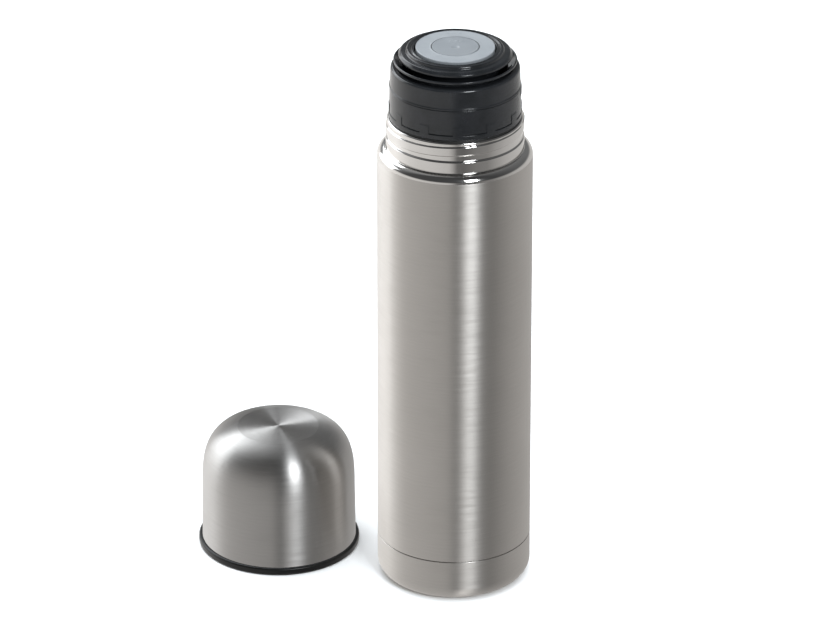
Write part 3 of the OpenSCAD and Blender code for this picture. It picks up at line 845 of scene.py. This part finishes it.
# brightness of the studio all round, high up and far below, as (azimuth in degrees, brightness) stops:
# azimuth 0 is the camera's side, and + is its right
SURROUND = ((-180, 0.85), (-150, 1.2), (-118, 1.25), (-98, 1.05), (-80, 0.85), (-60, 0.8), (-40, 0.75),
            (-10, 0.63), (-3, 0.42), (3, 0.18), (14, 0.16), (34, 0.24), (55, 0.28), (72, 0.42), (92, 0.54),
            (125, 0.64), (150, 0.66), (180, 0.85))
CEILING = ((-180, 0.2), (-140, 0.35), (-112, 0.3), (-80, 0.08), (60, 0.06), (110, 0.15), (150, 0.2),
           (180, 0.2))
BELOW = ((-180, 0.7), (-130, 0.85), (-90, 0.7), (-40, 0.65), (9, 0.6), (14, 1.9), (32, 1.7), (41, 0.55),
         (60, 0.42), (110, 0.55), (180, 0.7))
# the elevations between which the surroundings turn into the part below and the ceiling
BELOW_FROM = -34.0
BELOW_TO = -52.0
CEILING_FROM = 2.0
CEILING_TO = 18.0
WARM = (1.0, 0.985, 0.965)
COOL = (0.96, 0.98, 1.0)
LAMP_TINT = (0.93, 0.97, 1.0)
LAMP_AIM = Vector((0, 0, 0.13))
FLOOR_HALF = 12


def make_camera():
    data = bpy.data.cameras.new("camera")
    data.lens = CAMERA_LENS
    data.sensor_width = 36
    data.clip_start = 0.1
    data.clip_end = 60
    camera = bpy.data.objects.new("camera", data)
    bpy.context.collection.objects.link(camera)
    pitch = math.radians(CAMERA_PITCH)
    camera.location = AIM + CAMERA_AWAY * Vector((0, -math.cos(pitch), math.sin(pitch)))
    camera.rotation_euler = (math.radians(90) - pitch, 0, 0)
    bpy.context.scene.camera = camera


def make_floor():
    mat, nodes, links, shader = new_material("pale_floor")
    shader.inputs["Base Color"].default_value = (0.93, 0.93, 0.93, 1)
    shader.inputs["Roughness"].default_value = 0.7
    shader.inputs["Specular IOR Level"].default_value = 0.1
    corners = [(x * FLOOR_HALF, y * FLOOR_HALF, 0) for x, y in ((-1, -1), (1, -1), (1, 1), (-1, 1))]
    floor = new_piece("floor", corners, [(0, 1, 2, 3)], [mat])
    floor.visible_glossy = False


def area_light(name, azimuth, elevation, away, width, height, power, seen=True):
    """A soft panel aimed at the middle of the flask. Azimuth 0 is the camera's side, and + is its right."""
    data = bpy.data.lights.new(name, "AREA")
    data.shape = "RECTANGLE"
    data.size = width
    data.size_y = height
    data.energy = power
    data.color = LAMP_TINT
    lamp = bpy.data.objects.new(name, data)
    bpy.context.collection.objects.link(lamp)
    a, e = math.radians(azimuth), math.radians(elevation)
    way = Vector((math.sin(a) * math.cos(e), -math.cos(a) * math.cos(e), math.sin(e)))
    lamp.location = LAMP_AIM + way * away
    lamp.rotation_euler = (-way).to_track_quat("-Z", "Y").to_euler()
    lamp.visible_camera = False
    lamp.visible_glossy = seen


def ramp(nodes, links, value, stops, tint):
    """Brightness against azimuth in degrees, as (azimuth, brightness) stops."""
    node = nodes.new("ShaderNodeValToRGB")
    elements = node.color_ramp.elements
    while len(elements) < len(stops):
        elements.new(0.5)
    for element, (azimuth, level) in zip(elements, stops):
        element.position = (azimuth + 180) / 360
        element.color = (level * tint[0], level * tint[1], level * tint[2], 1)
    links.new(value, node.inputs["Fac"])
    return node.outputs["Color"]


def blend_links(nodes, links, value, first, second):
    mix = nodes.new("ShaderNodeMix")
    mix.data_type = "RGBA"
    links.new(value, mix.inputs["Factor"])
    links.new(first, mix.inputs["A"])
    links.new(second, mix.inputs["B"])
    return mix.outputs["Result"]


def elevation_step(nodes, links, height, start, end):
    """Goes smoothly from 0 to 1 between two elevations in degrees."""
    step = nodes.new("ShaderNodeMapRange")
    step.interpolation_type = "SMOOTHSTEP"
    step.inputs["From Min"].default_value = math.sin(math.radians(start))
    step.inputs["From Max"].default_value = math.sin(math.radians(end))
    links.new(height, step.inputs["Value"])
    return step.outputs["Result"]


def make_world():
    """A studio whose surroundings are lit low down and dark high up, fixed round the object."""
    world = bpy.data.worlds.new("studio")
    bpy.context.scene.world = world
    world.use_nodes = True
    nodes, links = world.node_tree.nodes, world.node_tree.links
    back = nodes["Background"]
    coords = nodes.new("ShaderNodeTexCoord")
    split = nodes.new("ShaderNodeSeparateXYZ")
    links.new(coords.outputs["Generated"], split.inputs[0])
    ahead = worked_out(nodes, links, "MULTIPLY", split.outputs["Y"], -1)
    azimuth = worked_out(nodes, links, "ARCTAN2", split.outputs["X"], ahead)
    share = nodes.new("ShaderNodeMapRange")
    share.inputs["From Min"].default_value = -math.pi
    share.inputs["From Max"].default_value = math.pi
    links.new(azimuth, share.inputs["Value"])
    around = ramp(nodes, links, share.outputs["Result"], SURROUND, WARM)
    above = ramp(nodes, links, share.outputs["Result"], CEILING, COOL)
    below = ramp(nodes, links, share.outputs["Result"], BELOW, WARM)
    rise = elevation_step(nodes, links, split.outputs["Z"], CEILING_FROM, CEILING_TO)
    fall = elevation_step(nodes, links, split.outputs["Z"], BELOW_FROM, BELOW_TO)
    low_mix = blend_links(nodes, links, fall, around, below)
    whole = blend_links(nodes, links, rise, low_mix, above)
    links.new(whole, back.inputs["Color"])
    back.inputs["Strength"].default_value = 1.0


make_camera()
make_floor()
make_world()
area_light("side_panel", azimuth=-122, elevation=20, away=1.3, width=1.0, height=0.8, power=6)
area_light("back_panel", azimuth=-150, elevation=40, away=1.3, width=0.8, height=0.6, power=4.5)
area_light("strip", azimuth=25, elevation=33, away=1.2, width=0.3, height=0.45, power=8)
area_light("top_fill", azimuth=0, elevation=88, away=2.4, width=4.0, height=4.0, power=150, seen=False)
bpy.context.scene.view_settings.view_transform = "Standard"
